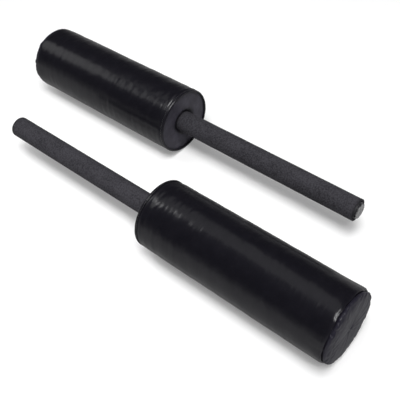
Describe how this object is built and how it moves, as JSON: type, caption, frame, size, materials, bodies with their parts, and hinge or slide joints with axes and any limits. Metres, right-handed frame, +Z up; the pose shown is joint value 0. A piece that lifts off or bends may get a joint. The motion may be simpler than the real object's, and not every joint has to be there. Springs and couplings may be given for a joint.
{
  "type": "padded training sticks",
  "caption": "Pair of padded striking sticks for boxing and martial arts coaching: a foam grip on a tube that runs through a fat covered foam pad.",
  "frame": {"origin": "on the surface the pair lies on, under the middle of the box that holds both sticks", "axes": "+X along both sticks, from stick_a's grip to its tip, +Y from stick_a to stick_b, +Z up; stick_b is stick_a turned half round about Z"},
  "size_m": [0.7764, 0.289, 0.114],
  "materials": {
    "cover": "satin",
    "end_panel": "matte",
    "binding": "satin",
    "grip_foam": "matte",
    "plug_plastic": "satin",
    "tube_plastic": "satin",
    "cap_plastic": "satin",
    "core_foam": "matte",
    "wrap_foam": "matte",
    "board": "matte",
    "tape": "matte"
  },
  "bodies": {
    "stick_a": {"stick_a_core_tube": "tube_plastic", "stick_a_butt_plug": "plug_plastic", "stick_a_tube_cap": "cap_plastic", "stick_a_grip_sleeve": "grip_foam", "stick_a_foam_core": "core_foam", "stick_a_foam_wrap": "wrap_foam", "stick_a_tip_cushion": "wrap_foam", "stick_a_shoulder_board": "board", "stick_a_cover_sleeve": "cover", "stick_a_shoulder_panel": "end_panel", "stick_a_edge_binding": "binding", "stick_a_tip_panel": "cover", "stick_a_seam_tape": "tape"},
    "stick_b": {"stick_b_core_tube": "tube_plastic", "stick_b_butt_plug": "plug_plastic", "stick_b_tube_cap": "cap_plastic", "stick_b_grip_sleeve": "grip_foam", "stick_b_foam_core": "core_foam", "stick_b_foam_wrap": "wrap_foam", "stick_b_tip_cushion": "wrap_foam", "stick_b_shoulder_board": "board", "stick_b_cover_sleeve": "cover", "stick_b_shoulder_panel": "end_panel", "stick_b_edge_binding": "binding", "stick_b_tip_panel": "cover", "stick_b_seam_tape": "tape"}
  },
  "joints": [
    {"name": "stick_b_lift", "type": "slide", "parent": "stick_a", "child": "stick_b", "axis": [0, 0, 1], "range_m": [0, 0.15]}
  ]
}
